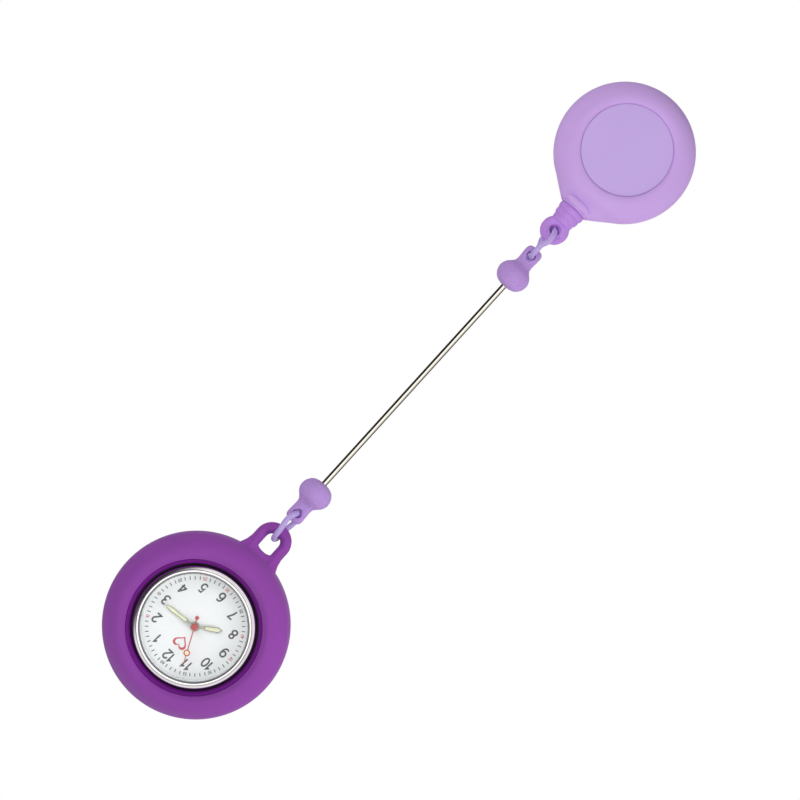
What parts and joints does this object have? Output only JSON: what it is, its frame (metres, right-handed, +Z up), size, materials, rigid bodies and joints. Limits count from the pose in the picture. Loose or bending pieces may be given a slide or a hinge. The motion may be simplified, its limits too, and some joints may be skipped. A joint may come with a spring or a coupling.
{
  "type": "nurse's fob watch",
  "caption": "Clip-on fob watch with a retracting lilac reel, loose plastic links, a polished steel rod and a round analogue watch in a purple silicone jacket.",
  "frame": {"origin": "on the reel's swivel axis, at the plane where the clip's jaws bite the cloth", "axes": "+Z up along the hanging chain, +X to the viewer's right, the dial and the reel's front face -Y"},
  "size_m": [0.044, 0.0236, 0.1874],
  "materials": {
    "clip_steel": "nickel-plated pressed steel",
    "bright_steel": "polished",
    "spring_steel": "dark tempered steel",
    "reel_plastic": "soft matte lilac",
    "inlay_plastic": "satin lilac",
    "inner_plastic": "moulded, unpainted",
    "cord_fibre": "braided cord",
    "plug_plastic": "soft matte purple",
    "link_plastic": "soft matte lavender",
    "ball_plastic": "soft matte lilac",
    "jacket_silicone": "matte silicone",
    "crystal_glass": "clear mineral glass",
    "dial_white": "white enamel",
    "hand_steel": "satin",
    "lume": "pale luminous paint",
    "lume_orange": "luminous paint",
    "hand_red": "red lacquer",
    "gear_brass": "plain",
    "plate_metal": "plated, grained",
    "gasket_rubber": "matte",
    "copper_coil": "enamelled copper wire",
    "board_green": "solder mask",
    "chip_black": "epoxy"
  },
  "bodies": {
    "clip": {"clip_base_jaw": "clip_steel", "clip_hinge_pin": "bright_steel", "clip_swivel_rivet": "bright_steel", "clip_spring": "spring_steel"},
    "clip_lever": {"clip_lever_jaw": "clip_steel"},
    "reel": {"reel_front_shell": "reel_plastic", "front_inlay": "inlay_plastic", "reel_back_shell": "reel_plastic", "outlet_bushing": "bright_steel", "spool_axle": "inner_plastic", "cord_run": "cord_fibre"},
    "spool": {"spool": "inner_plastic", "cord_winding": "cord_fibre", "power_spring": "spring_steel"},
    "plug": {"cord_plug": "plug_plastic", "cord_crimp": "bright_steel", "cord_lead": "cord_fibre"},
    "upper_link": {"upper_link": "link_plastic"},
    "rod": {"upper_ball_end": "ball_plastic", "rod": "bright_steel", "lower_ball_end": "ball_plastic"},
    "lower_link": {"lower_link": "link_plastic"},
    "watch": {"watch_jacket": "jacket_silicone", "watch_case": "bright_steel", "crown_tube": "bright_steel", "case_back": "clip_steel", "case_back_gasket": "gasket_rubber", "crystal": "crystal_glass", "crystal_gasket": "gasket_rubber", "dial_ring": "hand_steel", "dial": "dial_white", "movement_holder": "inner_plastic", "main_plate": "plate_metal", "train_bridge": "plate_metal", "bridge_screws": "spring_steel", "battery": "bright_steel", "battery_strap": "clip_steel", "circuit_board": "board_green", "ic_chip": "chip_black", "quartz_can": "bright_steel", "coil": "copper_coil", "coil_core": "spring_steel", "stator": "spring_steel"},
    "rotor": {"rotor": "spring_steel"},
    "fifth": {"fifth_wheel": "gear_brass"},
    "second": {"fourth_wheel": "gear_brass", "second_hand": "hand_red", "second_hand_lume": "lume_orange"},
    "third": {"third_wheel": "gear_brass"},
    "minute": {"centre_wheel": "gear_brass", "minute_hand": "hand_steel", "minute_hand_lume": "lume"},
    "minute_wheel": {"minute_wheel": "inner_plastic"},
    "hour": {"hour_wheel": "gear_brass", "hour_hand": "hand_steel", "hour_hand_lume": "lume"},
    "setting": {"setting_lever": "spring_steel"},
    "crown": {"winding_stem": "spring_steel", "crown": "bright_steel", "crown_gasket": "gasket_rubber"}
  },
  "joints": [
    {"name": "clip_squeeze", "type": "hinge", "parent": "clip", "child": "clip_lever", "pos_m": [0, 0, 0.003], "axis": [1, 0, 0], "range_deg": [0, 35], "stiffness_Nm_per_rad": 0.12, "springref_deg": -28.65, "deforming": ["clip_spring"]},
    {"name": "reel_swivel", "type": "hinge", "parent": "clip", "child": "reel", "pos_m": [0, 0, 0], "axis": [0, 1, 0], "continuous": true},
    {"name": "plug_pull", "type": "slide", "parent": "reel", "child": "plug", "axis": [0, 0, -1], "range_m": [0, 0.6], "stiffness_N_per_m": 1.5, "springref_m": -0.6, "deforming": ["cord_lead"]},
    {"name": "spool_spin", "type": "hinge", "parent": "reel", "child": "spool", "pos_m": [0, -0.01, 0], "axis": [0, 1, 0], "range_deg": [0, 3130]},
    {"name": "upper_link_swing", "type": "hinge", "parent": "plug", "child": "upper_link", "pos_m": [0, -0.01, -0.0245], "axis": [0, 1, 0], "range_deg": [-60, 60]},
    {"name": "rod_swing", "type": "hinge", "parent": "upper_link", "child": "rod", "pos_m": [0, -0.01, -0.0296], "axis": [1, 0, 0], "range_deg": [-45, 45]},
    {"name": "lower_link_swing", "type": "hinge", "parent": "rod", "child": "lower_link", "pos_m": [0, -0.01, -0.1137], "axis": [0, 1, 0], "range_deg": [-60, 60]},
    {"name": "watch_swing", "type": "hinge", "parent": "lower_link", "child": "watch", "pos_m": [0, -0.01, -0.1188], "axis": [1, 0, 0], "range_deg": [-110, 30]},
    {"name": "seconds_turn", "type": "hinge", "parent": "watch", "child": "second", "pos_m": [0, -0.01, -0.1488], "axis": [0, 1, 0], "continuous": true},
    {"name": "rotor_turn", "type": "hinge", "parent": "watch", "child": "rotor", "pos_m": [-0.00399, -0.01, -0.15159], "axis": [0, 1, 0], "continuous": true},
    {"name": "fifth_turn", "type": "hinge", "parent": "watch", "child": "fifth", "pos_m": [-0.00237, -0.01, -0.14966], "axis": [0, 1, 0], "continuous": true},
    {"name": "third_turn", "type": "hinge", "parent": "watch", "child": "third", "pos_m": [0.00204, -0.01, -0.14527], "axis": [0, 1, 0], "continuous": true},
    {"name": "minute_turn", "type": "hinge", "parent": "watch", "child": "minute", "pos_m": [0, -0.01, -0.1488], "axis": [0, 1, 0], "continuous": true},
    {"name": "minute_wheel_turn", "type": "hinge", "parent": "watch", "child": "minute_wheel", "pos_m": [0.0012, -0.01, -0.15088], "axis": [0, 1, 0], "continuous": true},
    {"name": "hour_turn", "type": "hinge", "parent": "watch", "child": "hour", "pos_m": [0, -0.01, -0.1488], "axis": [0, 1, 0], "continuous": true},
    {"name": "stem_pull", "type": "slide", "parent": "watch", "child": "setting", "axis": [-1, 0, 0], "range_m": [0, 0.0009]},
    {"name": "crown_turn", "type": "hinge", "parent": "setting", "child": "crown", "pos_m": [0, -0.0098, -0.1488], "axis": [1, 0, 0], "continuous": true}
  ],
  "couplings": [
    {"joint": "spool_spin", "follows": "plug_pull", "rad_per_m": 90.9},
    {"joint": "rotor_turn", "follows": "seconds_turn", "ratio": 30},
    {"joint": "fifth_turn", "follows": "seconds_turn", "ratio": -5},
    {"joint": "third_turn", "follows": "seconds_turn", "ratio": -0.13333},
    {"joint": "minute_turn", "follows": "seconds_turn", "ratio": 0.016667},
    {"joint": "minute_wheel_turn", "follows": "seconds_turn", "ratio": -0.0055556},
    {"joint": "hour_turn", "follows": "seconds_turn", "ratio": 0.0013889}
  ]
}
